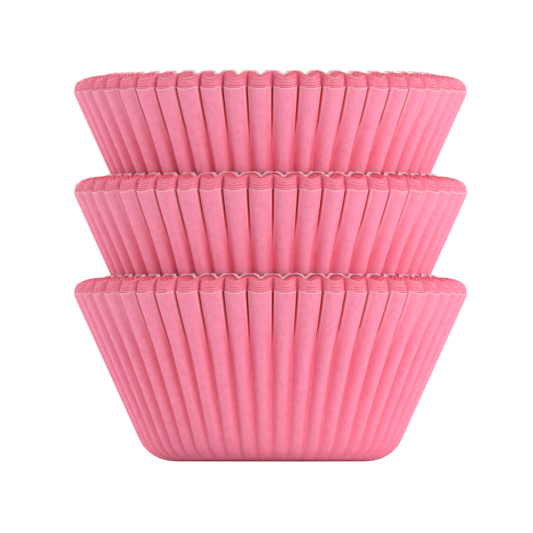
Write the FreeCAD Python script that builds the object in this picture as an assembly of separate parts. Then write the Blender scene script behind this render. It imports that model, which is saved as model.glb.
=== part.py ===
# A stack of fluted paper cupcake liners: three bundles of nested liners, each bundle
# standing in the mouth of the one below. Millimetres, +Z up, origin at the centre of the base.

import FreeCAD, Part
import math
import os

Vector = FreeCAD.Vector

# Driving dimensions: alias, value and what it is.
DIMENSIONS = (
    ("bundle_count", 3, "bundles in the stack"),
    ("liner_count", 12, "liners nested in one bundle"),
    ("flute_count", 48, "flutes round one liner"),
    ("paper", 0.08, "thickness of the paper, measured at the base"),
    ("nest_gap", 0.05, "air between two nested bases"),
    ("side_gap", 0.02, "air that each nested liner adds round its foot"),
    ("seat_gap", 0.1, "air where a bundle wedges in the rim below it"),
    ("base_radius", 20.5, "flat disc that the outermost liner stands on"),
    ("heel_out", 4.1, "radius gained over the lower half of the rounded heel"),
    ("heel_up", 1.3, "height of the lower half of the heel"),
    ("foot_out", 2.4, "radius gained over the upper half of the heel"),
    ("foot_up", 2.7, "height of the upper half of the heel"),
    ("rim_radius", 41.5, "ridges of the outermost rim, from the axis"),
    ("rim_height", 34.65, "ridges of the outermost rim, above its base"),
    ("rim_close_in", 6.45, "how far inside the outermost rim the innermost one lies"),
    ("rim_rise", 4.1, "how far above the outermost rim the innermost one lies"),
    ("flute_depth", 2.5, "ridge to valley at the rim"),
    ("shoulder_drop", 0.55, "fall of a ridge at its shoulder creases, at the rim"),
    ("ridge_share", 0.36, "crest of a ridge, as a share of the flute's width at the rim"),
    ("shoulder_share", 0.78, "shoulder to shoulder, as a share of the flute's width"),
    ("valley_share", 0.93, "valley crease to valley crease, as a share of the flute's width"),
    ("shrink_height", 30.0, "height of the point towards which the inner face is shrunk"),
)


def make_sheet(doc):
    """Put the driving dimensions in a spreadsheet: note in A, value with its alias in B."""
    sheet = doc.addObject("Spreadsheet::Sheet", "sizes")
    for row, (alias, value, note) in enumerate(DIMENSIONS, start=1):
        sheet.set("A%d" % row, note)
        sheet.set("B%d" % row, str(value))
        sheet.setAlias("B%d" % row, alias)
    doc.recompute()
    return sheet


def at(angle, radius, height):
    """Point from its angle round the axis, its radius and its height."""
    return Vector(radius * math.cos(angle), radius * math.sin(angle), height)


def heel_profile(sheet, lift, step):
    """Radius and height of the rings from the flat base up to the foot of the wall."""
    radius = sheet.base_radius - step
    profile = [(radius, lift)]
    for out, up in ((sheet.heel_out, sheet.heel_up), (sheet.foot_out, sheet.foot_up)):
        profile.append((profile[-1][0] + out, profile[-1][1] + up))
    return profile


class LinerForm:
    """Outline of one liner of a bundle, where index 0 is the outermost.

    The rims of a bundle lie on a quarter ellipse: they first rise and then run inwards.
    Every point of a rim is one slant length of paper from the foot of the wall, so the
    valleys reach a little higher than the ridges.
    """

    def __init__(self, sheet, index):
        turn = math.pi / 2 * index / (sheet.liner_count - 1)
        self.sheet = sheet
        self.base_height = index * (sheet.paper + sheet.nest_gap)
        self.rings = heel_profile(sheet, self.base_height, index * (sheet.paper + sheet.side_gap))
        self.foot_radius, self.foot_height = self.rings[-1]
        self.ridge_radius = sheet.rim_radius - sheet.rim_close_in * (1 - math.cos(turn))
        ridge_height = sheet.rim_height + sheet.rim_rise * math.sin(turn)
        self.slant = math.hypot(self.ridge_radius - self.foot_radius, ridge_height - self.foot_height)
        self.valley_radius = self.ridge_radius - sheet.flute_depth

    def rim_height_at(self, radius):
        """Height of the rim where its radius is the one given."""
        return self.foot_height + math.sqrt(self.slant ** 2 - (radius - self.foot_radius) ** 2)

    def valley_height_at(self, radius):
        """Height at which the straight valley line of the wall has this radius."""
        rise = self.rim_height_at(self.valley_radius) - self.foot_height
        run = self.valley_radius - self.foot_radius
        return self.foot_height + (radius - self.foot_radius) * rise / run

    def inner(self, point):
        """The same point on the inner face, shrunk towards a point on the axis."""
        centre = Vector(0, 0, self.base_height + self.sheet.shrink_height)
        return centre + (point - centre) * (1 - self.sheet.paper / self.sheet.shrink_height)


def bundle_lift(sheet):
    """Height from one bundle to the next: it drops in until its valleys meet the rim below."""
    outermost = LinerForm(sheet, 0)
    innermost = LinerForm(sheet, sheet.liner_count - 1)
    mouth = innermost.inner(Vector(innermost.valley_radius, 0, 0)).x - sheet.seat_gap
    return innermost.rim_height_at(innermost.valley_radius) - outermost.valley_height_at(mouth)


def outer_faces(form):
    """Corner loops of the outer face, flute by flute, and the line of points along the rim.

    The creases of each half flute fan out from one point at the foot of the wall, next to
    the valley, so every facet between two creases is flat, as in folded paper.
    """
    sheet = form.sheet
    pitch = 2 * math.pi / sheet.flute_count
    creases = ((sheet.ridge_share, 0.0), (sheet.shoulder_share, sheet.shoulder_drop),
               (sheet.valley_share, sheet.flute_depth))

    def bearing(flute, side, share):
        return pitch * (flute + 0.5 + side * share / 2)

    def foot(flute, side, ring):
        radius, height = form.rings[ring]
        return at(bearing(flute, side, sheet.shoulder_share), radius, height)

    def tip(flute, side, crease):
        share, drop = crease
        radius = form.ridge_radius - drop
        return at(bearing(flute, side, share), radius, form.rim_height_at(radius))

    loops = []
    rim = []
    base = []
    for flute in range(int(sheet.flute_count)):
        left = foot(flute, -1, -1)
        right = foot(flute, 1, -1)
        left_tips = [tip(flute, -1, crease) for crease in creases]
        right_tips = [tip(flute, 1, crease) for crease in creases]
        loops.append([left, right, right_tips[0], left_tips[0]])
        for upper, lower in zip(right_tips, right_tips[1:]):
            loops.append([right, lower, upper])
        for upper, lower in zip(left_tips, left_tips[1:]):
            loops.append([left, upper, lower])
        loops.append([right, foot(flute + 1, -1, -1), tip(flute + 1, -1, creases[-1]), right_tips[-1]])
        for ring in range(len(form.rings) - 1):
            corners = [foot(flute, -1, ring), foot(flute, 1, ring), foot(flute + 1, -1, ring)]
            above = [foot(flute, -1, ring + 1), foot(flute, 1, ring + 1), foot(flute + 1, -1, ring + 1)]
            loops.append([corners[0], corners[1], above[1], above[0]])
            loops.append([corners[1], corners[2], above[2], above[1]])
        base += [foot(flute, -1, 0), foot(flute, 1, 0)]
        rim += left_tips[::-1] + right_tips
    loops.append(base)
    return loops, rim


def liner_shape(form):
    """Closed solid of one liner: outer face, inner face and the cut edge between them."""
    loops, rim = outer_faces(form)
    loops += [[form.inner(point) for point in loop] for loop in loops]
    for start, end in zip(rim, rim[1:] + rim[:1]):
        loops.append([start, end, form.inner(end), form.inner(start)])
    shell = Part.Compound([Part.Face(Part.makePolygon(loop + loop[:1])) for loop in loops])
    shell.sewShape(1e-5)
    solid = Part.Solid(shell.Shells[0])
    if solid.Volume < 0:
        solid.reverse()
    return solid


def bundle_names(count):
    """Names of the bundles from the lowest to the highest."""
    between = ["middle"] if count == 3 else ["middle_%d" % (n + 1) for n in range(count - 2)]
    return (["bottom"] + between + ["top"])[:count]


def build(doc):
    """Add every liner of every bundle to the document and return them."""
    sheet = make_sheet(doc)
    shapes = [liner_shape(LinerForm(sheet, index)) for index in range(int(sheet.liner_count))]
    lift = bundle_lift(sheet)
    liners = []
    for level, bundle in enumerate(bundle_names(int(sheet.bundle_count))):
        for index, shape in enumerate(shapes):
            liner = doc.addObject("Part::Feature", "%s_liner_%02d" % (bundle, index + 1))
            liner.Label = liner.Name
            liner.Shape = shape
            liner.Placement = FreeCAD.Placement(Vector(0, 0, level * lift), FreeCAD.Rotation())
            liners.append(liner)
    doc.recompute()
    return liners


def check(doc, liners):
    """Stop if an object failed or a liner isn't one sound solid."""
    for item in doc.Objects:
        if "Invalid" in item.State or "Error" in item.State:
            raise RuntimeError("%s failed to build" % item.Label)
    for liner in liners:
        shape = liner.Shape
        if shape.isNull() or not shape.isValid() or len(shape.Solids) != 1:
            raise RuntimeError("%s isn't one sound solid" % liner.Label)


document = FreeCAD.newDocument("liner_stack")
all_liners = build(document)
check(document, all_liners)
os.makedirs("parts", exist_ok=True)
for one in all_liners:
    one.Shape.exportStep("parts/%s.step" % one.Label)
print("%d liners, bundles %.3f mm apart" % (len(all_liners), bundle_lift(document.sizes)))
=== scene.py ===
# Fluted pink cupcake liners in three nested bundles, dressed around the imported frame.

import bpy
import numpy as np
from math import cos, pi, radians, sin
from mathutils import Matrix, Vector


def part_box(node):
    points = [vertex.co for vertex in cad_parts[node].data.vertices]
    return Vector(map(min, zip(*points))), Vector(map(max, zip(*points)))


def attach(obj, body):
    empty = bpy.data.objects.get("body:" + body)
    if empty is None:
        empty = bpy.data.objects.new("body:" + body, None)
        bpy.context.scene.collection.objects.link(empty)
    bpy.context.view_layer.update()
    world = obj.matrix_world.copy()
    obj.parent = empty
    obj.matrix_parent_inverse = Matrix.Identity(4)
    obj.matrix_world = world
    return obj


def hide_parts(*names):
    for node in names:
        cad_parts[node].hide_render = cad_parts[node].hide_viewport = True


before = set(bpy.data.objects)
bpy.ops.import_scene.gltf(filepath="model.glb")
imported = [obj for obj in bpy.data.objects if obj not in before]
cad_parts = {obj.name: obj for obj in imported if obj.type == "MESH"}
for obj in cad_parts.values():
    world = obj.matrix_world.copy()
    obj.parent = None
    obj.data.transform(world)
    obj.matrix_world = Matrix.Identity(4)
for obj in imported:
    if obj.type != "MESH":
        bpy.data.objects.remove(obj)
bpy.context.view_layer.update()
mm = 0.001
print("frame loaded")

# What the whole stack shares. Lengths here and below are millimetres.
stack = dict(
    bundles=("bottom", "middle", "top"),
    linersPerBundle=12,
    flutes=48,
    slot="liner_paper",
)

# One pressed liner, the outermost of its bundle.
cup = dict(
    paper=0.08,          # thickness at the base
    shrinkHeight=30.0,   # the inner face is the outer one shrunk towards this point of the axis
    heelStart=19.9,      # radius where the flat base begins to turn up
    heelCorner=25.5,     # radius where base and wall would meet if the heel were sharp
    heelSlant=5.2,       # how far up the wall the heel reaches
    nestStep=0.10,       # each nested heel is this much smaller
    nestRise=0.13,       # and stands this much higher
    fluteDepth=2.5,
    baseRing=0.5,        # one ring inside the flat base, as a share of its radius
    sharpFrom=55.0,      # degrees between two faces from which their edge is shaded sharp
)

# The cut edges of a bundle, from the outermost liner to the innermost one.
rims = dict(
    radius=41.45,        # ridges of the outermost edge
    height=35.0,
    inwards=(0.0, 0.02, 0.07, 0.16, 0.32, 0.60, 1.05, 1.75, 2.70, 3.85, 5.10, 6.40),
    upwards=(0.0, 0.46, 0.91, 1.35, 1.76, 2.12, 2.38, 2.52, 2.60, 2.65, 2.69, 3.36),
    smile=0.62,          # the outermost edge is this much higher at its valleys
    smileInside=0.90,    # and the next ones this much
    smileReach=0.2,      # share of the bundle over which the one becomes the other
    shelf=0.98,          # and the one before the innermost this much, over a wide flat stretch
    shelfWidth=0.38,
    bandDepth=2.10,      # ridge to valley where only the last stretch of a liner shows
    tuck=0.32,           # a liner comes out from under the edge before it this far inside
    lip=0.19,            # and just above that edge it is this far inside
    lastLip=0.11,        # the innermost liner lies closer
)

# The section of a flute, from valley (-1) to ridge (0) to valley (+1).
flute = dict(
    fold=0.885,          # where a ridge folds into the slit beside it
    foldDrop=0.48,       # share of the depth already reached at that fold
    slitEnd=0.985,
    bulge=2.7,           # power of the ridge's round top
    bandPower=1.6,       # the same where only the last stretch shows
    softPower=1.8,       # wide ridges and narrow valleys low on the wall
    innerPower=0.8,      # the innermost liner: narrow ridges and wide valleys
    innerShare=0.96,     # and a little less depth
    crispFrom=0.50,      # height on the wall, as a share, where the folds begin to sharpen
    crispTo=0.95,        # and where they are sharp
    fadeStart=3.0,       # flutes begin this far outside the flat base
    fadePower=0.55,      # how the depth grows from there to the rim
)

# Small differences that pressing and handling leave.
unevenness = dict(
    seed=7,
    seedStep=100,        # between the seeds of two bundles' liners
    valleyShift=0.030,   # sideways, as a share of a flute's width
    valleyLean=0.020,    # more of it towards the rim
    shiftOnset=1.5,      # how soon above the heel the shift is complete
    depthSpread=0.07,    # share of the depth
    ridgeSpread=0.16,    # how far a ridge may lie inwards
    heelPucker=0.12,
    puckerAt=4.5,        # distance of the puckers outside the flat base
    puckerReach=2.2,
    puckerWaves=6,
    puckerOrder=5,       # wave n has n times this many crests more than a multiple of the flutes
    puckerLean=3.0,      # wave n gains n radians over this distance, so that it leans
    edgeWave=0.035,      # height of each cut edge
    edgeOrders=(3, 5, 8, 13, 21),    # waves round the cup
    edgeShare=0.4,       # share of the wave at the outermost edge; it grows inwards
    edgeTilt=0.05,       # one liner stands a little crooked in the next
    spacing=0.16,        # uneven steps between the cut edges
)

# Mesh fineness: positions across half a flute, heel rows and wall rows.
fineness = dict(
    outermost=dict(halves=(0.20, 0.40, 0.58, 0.73, 0.83, 0.87, 0.90, 0.935, 0.97), heel=6, wall=16),
    innermost=dict(halves=(0.10, 0.20, 0.30, 0.45, 0.65, 0.85), heel=3, wall=9),
    hidden=dict(halves=(0.30, 0.60, 0.85), heel=3, wall=2),
)

# Rows close to a cut edge: distances below it, and shares of the step down to the edge before it.
nearEdge = dict(
    outermost=0.30,
    straight=1.8,        # the wall of a nested liner is straight up to here
    behind=0.12,         # and tucked in this far below the edge before it
    hidden=(0.92, 0.45),
    innermost=(0.92, 0.60, 0.30),
)

# The ragged mouth: wide flat tops at the valleys and narrow notches at the ridges.
mouth = dict(
    plateau=0.72,
    notchWidth=0.27,
    notchPower=2.4,
    ripple=0.11,         # crinkles of the edge
    rippleOrders=(181, 233, 291, 349, 407),
)

# Where the paper is pale or brightened with painted highlights and painted light, and where painted shade
# makes it deep red. Pairs run from not at all to fully.
marks = dict(
    edgeReach=0.30,      # a cut edge is pale over this distance
    edgeOutermost=0.55,  # this much on the outermost liner
    edgeNested=0.12,     # and this much on a hidden one
    # painted highlight along the folds
    foldAt=0.85,         # the fold of a ridge, across the flute
    foldReach=0.04,
    fold=0.40,
    slit=(0.87, 0.94),   # painted shade in the slits: across the flute, where the folds are sharp
    valley=(0.45, 0.90), # and painted shade in the valleys lower down
    valleyShade=0.62,
    underside=(3.4, 1.6),    # painted shade under the heel: distance outside the flat base
    comingOut=(0.4, 0.9),    # painted shade where a liner comes out from behind the one before, as shares of the step
    comingOutShade=0.9,
    leastStep=0.01,      # stands in for the step of the outermost liner, which has none
    bandShade=0.12,       # painted shade over the band of edges at its ridges
    bandValley=0.73,     # and what its valleys add
    bandPower=6,
    # innermost liner: pale cut edge brightened with painted light, painted light over its strip, a
    # painted highlight at each notch, and less painted shade
    innermostEdge=1.3,   # falls by 1 over its reach, and what is over 1 counts as 1
    innermostReach=0.35,
    innermostStripLight=0.4,
    innermostShade=0.3,   # share of the painted shade that is left there
    # painted highlight at each notch: how far it reaches below the edge
    notchReach=0.9,
)


def smoothstep(low, high, value):
    # 0 below low, 1 above high, and 3x^2 - 2x^3 between
    x = np.clip((value - low) / (high - low), 0.0, 1.0)
    return x * x * (3.0 - 2.0 * x)


def wobble(angle, rng, orders, size):
    # sum of cosines of the angle at whole orders, with random phases, so that it closes on itself
    total = np.zeros_like(angle)
    for order in orders:
        total = total + np.cos(order * angle + rng.uniform(0.0, 2.0 * pi))
    return total * size / np.sqrt(len(orders))


def across(halves):
    # positions across one flute from its left valley up to, but without, its right valley
    halves = np.array(halves)
    return np.concatenate([[-1.0], -halves[::-1], [0.0], halves])


def ridgeSection(side):
    # a round top that falls as a power of the distance to the fold, then straight down into the slit
    top = flute["foldDrop"] * (side / flute["fold"]) ** flute["bulge"]
    down = (side - flute["fold"]) / (flute["slitEnd"] - flute["fold"])
    slit = flute["foldDrop"] + (1.0 - flute["foldDrop"]) * down
    return np.where(side < flute["fold"], top, np.clip(slit, 0.0, 1.0))


def softSection(side, power):
    # half a cosine wave raised to a power: above 1 the ridges are wide, below 1 the valleys are
    return (0.5 - 0.5 * np.cos(pi * side)) ** power


def bundlePress(level):
    # what all liners of one bundle share, because they were pressed in one pile
    rng = np.random.default_rng(unevenness["seed"] + level)
    count = stack["flutes"]
    return dict(
        shift=rng.uniform(-1.0, 1.0, count) * unevenness["valleyShift"],
        lean=rng.uniform(-1.0, 1.0, count) * unevenness["valleyLean"],
        depth=1.0 + rng.uniform(-1.0, 1.0, count) * unevenness["depthSpread"],
        ridge=-rng.uniform(0.0, 1.0, count) * unevenness["ridgeSpread"],
        pucker=rng.uniform(0.0, 2.0 * pi, unevenness["puckerWaves"]),
        step=np.concatenate([[0.0], rng.uniform(-1.0, 1.0, stack["linersPerBundle"] - 2), [0.0]]),
    )


def rimPlace(index, press):
    # ridge radius and height of a cut edge, a little off its even place between its neighbours
    place = index + unevenness["spacing"] * press["step"][index]
    numbers = np.arange(stack["linersPerBundle"])
    inwards = np.interp(place, numbers, rims["inwards"])
    return rims["radius"] - inwards, rims["height"] + np.interp(place, numbers, rims["upwards"])


def heelCurve(count, radiusStep):
    # parabola with its corner at the meeting point of base and wall: radius and height
    t = np.linspace(0.0, 1.0, count + 1)
    run = rims["radius"] - cup["heelCorner"]
    slope = np.hypot(run, rims["height"])
    endRadius = cup["heelCorner"] + cup["heelSlant"] * run / slope
    radius = (1 - t) ** 2 * cup["heelStart"] + 2 * t * (1 - t) * cup["heelCorner"] + t ** 2 * endRadius
    height = t ** 2 * cup["heelSlant"] * rims["height"] / slope
    return radius - radiusStep, height


def linerSurface(level, index, press):
    # outer face of one liner as rows of rings; every ring runs valley, ridge, valley round the cup
    last = stack["linersPerBundle"] - 1
    kind = "outermost" if index == 0 else "innermost" if index == last else "hidden"
    mesh = fineness[kind]
    rng = np.random.default_rng(unevenness["seedStep"] * (level + 1) + index)
    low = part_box("%s_liner_%02d" % (stack["bundles"][level], index + 1))[0].z / mm
    rimRadius, rimHeight = rimPlace(index, press)
    radiusBefore, heightBefore = rimPlace(max(index - 1, 0), press)
    step = rimHeight - heightBefore

    # rows: two rings of the base, the heel, and the wall up to the cut edge
    heelRadius, heelHeight = heelCurve(mesh["heel"], index * cup["nestStep"])
    footRadius, footHeight = heelRadius[-1], heelHeight[-1]
    rise = rimHeight - index * cup["nestRise"] - footHeight
    slant = np.hypot(rimRadius - footRadius, rise)
    under = np.array([nearEdge["outermost"], 0.0])
    if index:
        visible = [step * portion for portion in nearEdge[kind]]
        under = np.array([nearEdge["straight"], step + nearEdge["behind"]] + visible + [0.0])
    wallShare = np.concatenate([np.linspace(0.0, 1.0, mesh["wall"] + 1)[1:-1], 1.0 - under / slant])
    wallRadius = footRadius + (rimRadius - footRadius) * wallShare
    strip = np.zeros(len(wallShare))
    if index:
        # close to its edge a liner follows the round corner, so that no gap shows behind the one before
        shown = len(under) - 2
        inside = rims["lastLip"] if kind == "innermost" else rims["lip"]
        lip = rimRadius + (radiusBefore - inside - rimRadius) * under[-shown:] / step
        wallRadius[-shown:] = np.maximum(wallRadius[-shown:], lip)
        wallRadius[-shown - 1] = max(wallRadius[-shown - 1], radiusBefore - rims["tuck"])
        strip[-shown:] = 1.0

    rowRadius = np.concatenate([[heelRadius[0] * cup["baseRing"]], heelRadius, wallRadius])
    rowHeight = np.concatenate([[0.0], heelHeight, footHeight + rise * wallShare])
    flat = np.zeros(mesh["heel"] + 2)
    share = np.concatenate([flat, wallShare])[:, None]
    strip = np.concatenate([flat, strip])[:, None]
    run = np.hypot(np.diff(rowRadius), np.diff(rowHeight))
    along = np.concatenate([[0.0], np.cumsum(run)]) - run[0]
    fade = np.clip((along - flute["fadeStart"]) / (along[-1] - flute["fadeStart"]), 0.0, 1.0)
    fade = fade[:, None] ** flute["fadePower"]
    toEdge = (along[-1] - along)[:, None]
    crisp = smoothstep(flute["crispFrom"], flute["crispTo"], share) * (kind != "innermost")

    # columns: u across each flute, then the angle, with each valley moved a little
    place = across(mesh["halves"])
    columns = len(place)
    u = np.tile(place, stack["flutes"])
    side = np.abs(u)
    number = np.repeat(np.arange(stack["flutes"]), columns)
    following = (number + 1) % stack["flutes"]
    part = (u + 1.0) / 2.0
    valley = press["shift"][number] + press["lean"][number] * share
    valleyNext = press["shift"][following] + press["lean"][following] * share
    calm = np.clip(fade * unevenness["shiftOnset"], 0.0, 1.0)
    angle = number + part + ((1.0 - part) * valley + part * valleyNext) * calm
    angle = 2.0 * pi / stack["flutes"] * angle

    soft = softSection(side, flute["softPower"])
    if kind == "innermost":
        soft = softSection(side, flute["innerPower"]) * flute["innerShare"]
    section = cup["fluteDepth"] * fade * (crisp * ridgeSection(side) + (1.0 - crisp) * soft)
    section = (1.0 - strip) * section + strip * rims["bandDepth"] * side ** flute["bandPower"]
    depth = (1.0 - part) * press["depth"][number] + part * press["depth"][following]
    swell = press["ridge"][number] * np.cos(u * pi / 2.0) ** 2 * fade
    radius = rowRadius[:, None] - depth * section + swell

    # the heel is puckered where the flutes die out: a mean of cosines round the cup, leaning as they rise
    puckered = np.exp(-((along - unevenness["puckerAt"]) / unevenness["puckerReach"]) ** 2)[:, None]
    folds = 0.0
    for n, phase in enumerate(press["pucker"]):
        order = stack["flutes"] * (1 + n // 2) + unevenness["puckerOrder"] * n
        folds = folds + np.cos(order * angle + phase + n * along[:, None] / unevenness["puckerLean"])
    folds = folds / unevenness["puckerWaves"]
    radius = radius - unevenness["heelPucker"] * puckered * (1.0 + folds)

    # the cut edge is highest at the valleys
    inward = index / last
    shelf = rims["shelf"] * (1.0 - np.exp(-(u / rims["shelfWidth"]) ** 2))
    smile = np.interp(inward, [0.0, rims["smileReach"]], [rims["smile"], rims["smileInside"]])
    smile = smile * side ** 2
    arch = (1.0 - inward ** 2) * smile + inward ** 2 * shelf
    edge = wobble(angle[-1], rng, unevenness["edgeOrders"], unevenness["edgeWave"])
    edge = edge + unevenness["edgeTilt"] * np.cos(angle[-1] + rng.uniform(0.0, 2.0 * pi))
    height = rowHeight[:, None] + (edge * (unevenness["edgeShare"] + inward) + arch) * share ** 2
    if kind == "innermost":
        near = np.clip(1.0 - toEdge / step, 0.0, 1.0)
        ripple = wobble(angle[-1], rng, mouth["rippleOrders"], mouth["ripple"])
        notch = np.exp(-(side / mouth["notchWidth"]) ** mouth["notchPower"])
        height = height + (mouth["plateau"] * (1.0 - notch) - arch - ripple) * near
        radius = radius + ripple * near
    outer = np.stack([radius * np.cos(angle), radius * np.sin(angle), height + low], axis=2)

    # first layer: pale near cut edges, painted highlight along folds and at notches, painted light on the
    # innermost strip; second layer: painted shade in slits, valleys, under the heel and where one liner
    # comes out of another
    even = np.ones_like(angle)
    pale = marks["edgeOutermost"] if kind == "outermost" else marks["edgeNested"]
    paleAndPaintedLight = even * np.clip(1.0 - toEdge / marks["edgeReach"], 0.0, 1.0) * pale
    # painted shade where a liner comes out from behind the one before, and over its visible strip, darker
    # towards its valleys
    comingOut = smoothstep(*marks["comingOut"], toEdge / max(step, marks["leastStep"]))
    paintedShade = strip * even * comingOut * marks["comingOutShade"]
    band = marks["bandShade"] + marks["bandValley"] * side ** marks["bandPower"]
    paintedShade = np.maximum(paintedShade, strip * band)
    if kind == "outermost":
        # painted highlight along each fold of the outermost liner
        fold = np.exp(-((side - marks["foldAt"]) / marks["foldReach"]) ** 2)
        paleAndPaintedLight = np.maximum(paleAndPaintedLight, marks["fold"] * crisp * fold)
        # painted shade in the slits, in the valleys lower down, and under the heel
        paintedShade = crisp * smoothstep(*marks["slit"], side)
        paintedShade = paintedShade + marks["valleyShade"] * (1.0 - crisp) * fade * smoothstep(*marks["valley"], side)
        outside, inside = marks["underside"]
        paintedShade = np.maximum(paintedShade, smoothstep(-outside, -inside, -along)[:, None])
    if kind == "innermost":
        # innermost liner: pale at its cut edge with painted light there, painted light over its visible
        # strip, a painted highlight at each notch, and less painted shade
        pale = np.clip(marks["innermostEdge"] - toEdge / marks["innermostReach"], 0.0, 1.0)
        paleAndPaintedLight = np.maximum(pale, marks["innermostStripLight"] * strip) * even
        paleAndPaintedLight = np.maximum(paleAndPaintedLight, notch * np.exp(-(toEdge / marks["notchReach"]) ** 2))
        paintedShade = marks["innermostShade"] * paintedShade
    return outer, dict(paleAndPaintedLight=paleAndPaintedLight, paintedShade=paintedShade), low


def closedPaper(name, outer, layers, low):
    # the outer face, the same face shrunk towards a point of the axis, and the cut edge between
    rows, ring = outer.shape[:2]
    centre = np.array([0.0, 0.0, low + cup["shrinkHeight"]])
    shrink = 1.0 - cup["paper"] / cup["shrinkHeight"]
    inner = centre + (outer - centre) * shrink
    poles = np.array([[0.0, 0.0, low], [0.0, 0.0, low + cup["paper"]]])
    points = np.concatenate([outer.reshape(-1, 3), inner.reshape(-1, 3), poles]) * mm

    size = rows * ring
    column = np.arange(ring)
    nextColumn = (column + 1) % ring
    row = np.arange(rows - 1)[:, None] * ring
    above = row + ring
    outerQuads = np.stack([row + column, row + nextColumn, above + nextColumn, above + column], axis=2)
    innerQuads = outerQuads[:, :, ::-1] + size
    top = (rows - 1) * ring
    topIn = size + top
    cutEdge = np.stack([top + column, top + nextColumn, topIn + nextColumn, topIn + column], axis=1)
    bottomFan = np.stack([nextColumn, column, np.full(ring, 2 * size)], axis=1)
    floorFan = np.stack([size + column, size + nextColumn, np.full(ring, 2 * size + 1)], axis=1)
    faces = outerQuads.reshape(-1, 4).tolist() + innerQuads.reshape(-1, 4).tolist()
    faces += cutEdge.tolist() + bottomFan.tolist() + floorFan.tolist()

    mesh = bpy.data.meshes.new(name)
    mesh.from_pydata(points.tolist(), [], faces)
    mesh.polygons.foreach_set("use_smooth", np.ones(len(faces), dtype=bool))
    mesh.set_sharp_from_angle(angle=radians(cup["sharpFrom"]))
    for layer, values in layers.items():
        both = np.concatenate([values.ravel(), values.ravel() * (layer == "paleAndPaintedLight"), [0.0, 0.0]])
        mesh.attributes.new(layer, "FLOAT", "POINT").data.foreach_set("value", both.astype(np.float32))
    mesh.update()
    piece = bpy.data.objects.new(name, mesh)
    bpy.context.scene.collection.objects.link(piece)
    return piece


class Wire:
    # a shader socket that takes part in sums: operators add Math nodes behind it

    def __init__(self, tree, socket=None):
        self.tree = tree
        self.socket = socket

    def add(self, kind, settings=None, outlet=0, **inlets):
        # any node: its type, its settings, then the values or links of its sockets by name
        node = self.tree.nodes.new(kind)
        for key, value in (settings or {}).items():
            setattr(node, key, value)
        for key, value in inlets.items():
            spot = int(key[1:]) if key[0] == "_" else key.replace("_", " ")
            if isinstance(value, Wire):
                self.tree.links.new(value.socket, node.inputs[spot])
            else:
                node.inputs[spot].default_value = value
        return Wire(self.tree, node.outputs[outlet] if len(node.outputs) else None)

    def maths(self, operation, one, two=0.0):
        return self.add("ShaderNodeMath", {"operation": operation}, _0=one, _1=two)

    def __add__(self, other):
        return self.maths("ADD", self, other)

    def __radd__(self, other):
        return self.maths("ADD", other, self)

    def __sub__(self, other):
        return self.maths("SUBTRACT", self, other)

    def __rsub__(self, other):
        return self.maths("SUBTRACT", other, self)

    def __mul__(self, other):
        return self.maths("MULTIPLY", self, other)

    def __rmul__(self, other):
        return self.maths("MULTIPLY", other, self)

    def held(self, low, high):
        return self.maths("MINIMUM", self.maths("MAXIMUM", self, low), high)

    def mixed(self, first, second):
        # from the first colour to the second one as this socket goes from 0 to 1
        return self.add("ShaderNodeMix", {"data_type": "RGBA"}, outlet=2, _0=self, _6=first, _7=second)


# Dyed paper, with colours as they are written (linear); the pale one is partly painted light, the dark
# red one painted shade.
paper = dict(
    dye=(0.97, 0.31, 0.455, 1.0),
    dense=(0.87, 0.165, 0.265, 1.0),   # the darkest of the mottling
    paleAndPaintedLight=(1.0, 0.93, 0.94, 1.0),       # pale near cut edges; painted highlight along folds and at notches; painted light on the innermost edge and strip
    paintedShade=(0.80, 0.07, 0.12, 1.0),      # painted shade: darker red in slits, valleys, under the heel and where one liner comes out of another; its saturation stands in for light coming through the paper
    grain=2600.0,        # scales of the two noises
    mottling=800.0,
    bumpDepth=0.00002,
    bumpStrength=0.35,
    shadeStart=0.12,     # share of the dense colour where mottling and grain are at their mean
    mottlingShare=0.9,
    grainShare=1.1,
    roughness=0.75,
    specular=0.25,
)


def linerPaper():
    material = bpy.data.materials.new("linerPaper")
    material.use_nodes = True
    tree = material.node_tree
    shader = tree.nodes["Principled BSDF"]
    start = Wire(tree)
    place = start.add("ShaderNodeTexCoord", outlet=3)    # object coordinates
    paleAndPaintedLight = start.add("ShaderNodeAttribute", {"attribute_name": "paleAndPaintedLight"}, outlet=2)
    paintedShade = start.add("ShaderNodeAttribute", {"attribute_name": "paintedShade"}, outlet=2)
    grain = start.add("ShaderNodeTexNoise", Vector=place, Scale=paper["grain"], Detail=1.0)
    mottling = start.add("ShaderNodeTexNoise", Vector=place, Scale=paper["mottling"], Detail=3.0)
    shade = paper["shadeStart"] + (0.5 - mottling) * paper["mottlingShare"]
    shade = shade + (0.5 - grain) * paper["grainShare"]
    plain = shade.held(0.0, 1.0).mixed(paper["dye"], paper["dense"])
    # painted shade: the plain paper mixed towards the darker red
    slit = paintedShade.held(0.0, 1.0).mixed(plain, paper["paintedShade"])
    # then towards the pale colour: pale cut edges, painted highlights and painted light
    colour = paleAndPaintedLight.held(0.0, 1.0).mixed(slit, paper["paleAndPaintedLight"])
    bump = start.add("ShaderNodeBump", Strength=paper["bumpStrength"], Distance=paper["bumpDepth"],
                     Height=grain + mottling)
    tree.links.new(colour.socket, shader.inputs["Base Color"])
    tree.links.new(bump.socket, shader.inputs["Normal"])
    shader.inputs["Roughness"].default_value = paper["roughness"]
    shader.inputs["Specular IOR Level"].default_value = paper["specular"]
    return material


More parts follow.
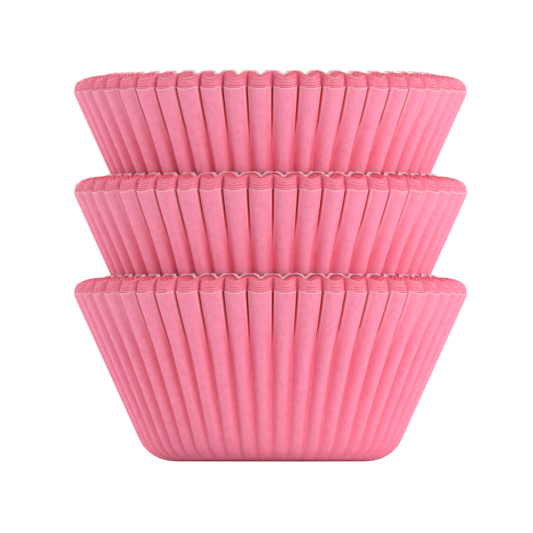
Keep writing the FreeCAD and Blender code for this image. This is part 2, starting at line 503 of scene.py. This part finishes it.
finish = linerPaper()
triangles = 0
for level, bundle in enumerate(stack["bundles"]):
    press = bundlePress(level)
    for index in range(stack["linersPerBundle"]):
        outer, layers, low = linerSurface(level, index, press)
        piece = closedPaper("%sLiner%02d" % (bundle, index + 1), outer, layers, low)
        piece.data.materials.append(finish)
        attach(piece, "root")
        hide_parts("%s_liner_%02d" % (bundle, index + 1))
        triangles += sum(len(p.vertices) - 2 for p in piece.data.polygons)
    print("bundle", bundle, "pressed,", triangles, "triangles so far")

# The floor, the light of the room and the lamps, in metres and watts.
studio = dict(
    floorSize=8.0,
    floorDrop=0.00003,    # just under the base, so that the two faces don't coincide
    floorColour=(0.92, 0.92, 0.92, 1.0),
    floorGlow=0.72,
    roomLight=0.38,
    aim=(0.0, 0.0, 0.04),
    lamps=dict(
        right=dict(place=(0.84, 0.08, 0.26), size=0.45, power=2.6),
        left=dict(place=(-0.83, 0.12, 0.24), size=0.40, power=2.6),
        front=dict(place=(0.60, -1.00, 0.26), size=0.70, power=5.8),
        back=dict(place=(-0.40, 0.95, 0.70), size=0.60, power=3.0),
        top=dict(place=(0.0, -0.25, 1.15), size=0.50, power=2.3),
    ),
)

# The camera, from measurements in the photo.
view = dict(
    pixel=0.21,          # millimetres in the photograph's scale
    imageSize=533,
    centreAcross=270.5,  # pixel column of the stack's axis
    floorRow=461.5,      # pixel row of the floor
    distance=2770.0,
    eyeHeight=5.0,
    turn=0.62,           # degrees round the stack, towards the left
    sensor=36.0,
    clip=(0.05, 50.0),   # metres
)


def backgroundRay(start):
    # 1 for rays from the camera and for those that a mirror or a glass sends on; the outlets of
    # Light Path are Is Camera Ray, Is Glossy Ray and Is Transmission Ray
    camera, glossy, through = (start.add("ShaderNodeLightPath", outlet=n) for n in (0, 3, 6))
    return (camera + glossy + through).held(0.0, 1.0)


def stageMaterial():
    # plain floor that the camera sees a little brighter than it is lit, so that it ends white
    material = bpy.data.materials.new("plainFloor")
    material.use_nodes = True
    tree = material.node_tree
    tree.nodes.clear()
    start = Wire(tree)
    diffuse = start.add("ShaderNodeBsdfDiffuse", Color=studio["floorColour"])
    glow = start.add("ShaderNodeEmission", Strength=backgroundRay(start) * studio["floorGlow"])
    both = start.add("ShaderNodeAddShader", _0=diffuse, _1=glow)
    start.add("ShaderNodeOutputMaterial", Surface=both)
    return material


def buildFloor():
    half = studio["floorSize"] / 2
    mesh = bpy.data.meshes.new("floor")
    down = -studio["floorDrop"]
    corners = [(-half, -half, down), (half, -half, down), (half, half, down), (-half, half, down)]
    mesh.from_pydata(corners, [], [(0, 1, 2, 3)])
    mesh.materials.append(stageMaterial())
    floor = bpy.data.objects.new("floor", mesh)
    bpy.context.scene.collection.objects.link(floor)


def buildWorld():
    world = bpy.data.worlds.new("room")
    bpy.context.scene.world = world
    world.use_nodes = True
    tree = world.node_tree
    background = tree.nodes["Background"]
    background.inputs["Color"].default_value = (1.0, 1.0, 1.0, 1.0)
    strength = studio["roomLight"] + backgroundRay(Wire(tree)) * (1.0 - studio["roomLight"])
    tree.links.new(strength.socket, background.inputs["Strength"])


def buildLamp(name, place, size, power):
    light = bpy.data.lights.new(name, "AREA")
    light.shape = "DISK"
    light.size = size
    light.energy = power
    holder = bpy.data.objects.new(name, light)
    holder.location = place
    holder.rotation_euler = (Vector(studio["aim"]) - Vector(place)).to_track_quat("-Z", "Y").to_euler()
    bpy.context.scene.collection.objects.link(holder)


def buildCamera():
    # the frame's width at the axis is the image size times the scale
    wide = view["imageSize"] * view["pixel"] * mm
    distance = view["distance"] * mm
    aside = (view["imageSize"] / 2 - view["centreAcross"]) * view["pixel"] * mm
    middle = (view["floorRow"] - view["imageSize"] / 2) * view["pixel"] * mm
    turn = radians(view["turn"])
    data = bpy.data.cameras.new("camera")
    data.sensor_width = view["sensor"]
    data.lens = view["sensor"] * distance / wide
    data.clip_start, data.clip_end = view["clip"]
    camera = bpy.data.objects.new("camera", data)
    target = Vector((aside * cos(turn), -aside * sin(turn), middle))
    camera.location = target + Vector((-distance * sin(turn), -distance * cos(turn), 0.0))
    camera.location.z = view["eyeHeight"] * mm
    camera.rotation_euler = (target - camera.location).to_track_quat("-Z", "Y").to_euler()
    bpy.context.scene.collection.objects.link(camera)
    bpy.context.scene.camera = camera


buildFloor()
buildWorld()
for name, settings in studio["lamps"].items():
    buildLamp(name, **settings)
buildCamera()

scene = bpy.context.scene
scene.view_settings.view_transform = "Standard"
print("stack dressed,", triangles, "triangles")
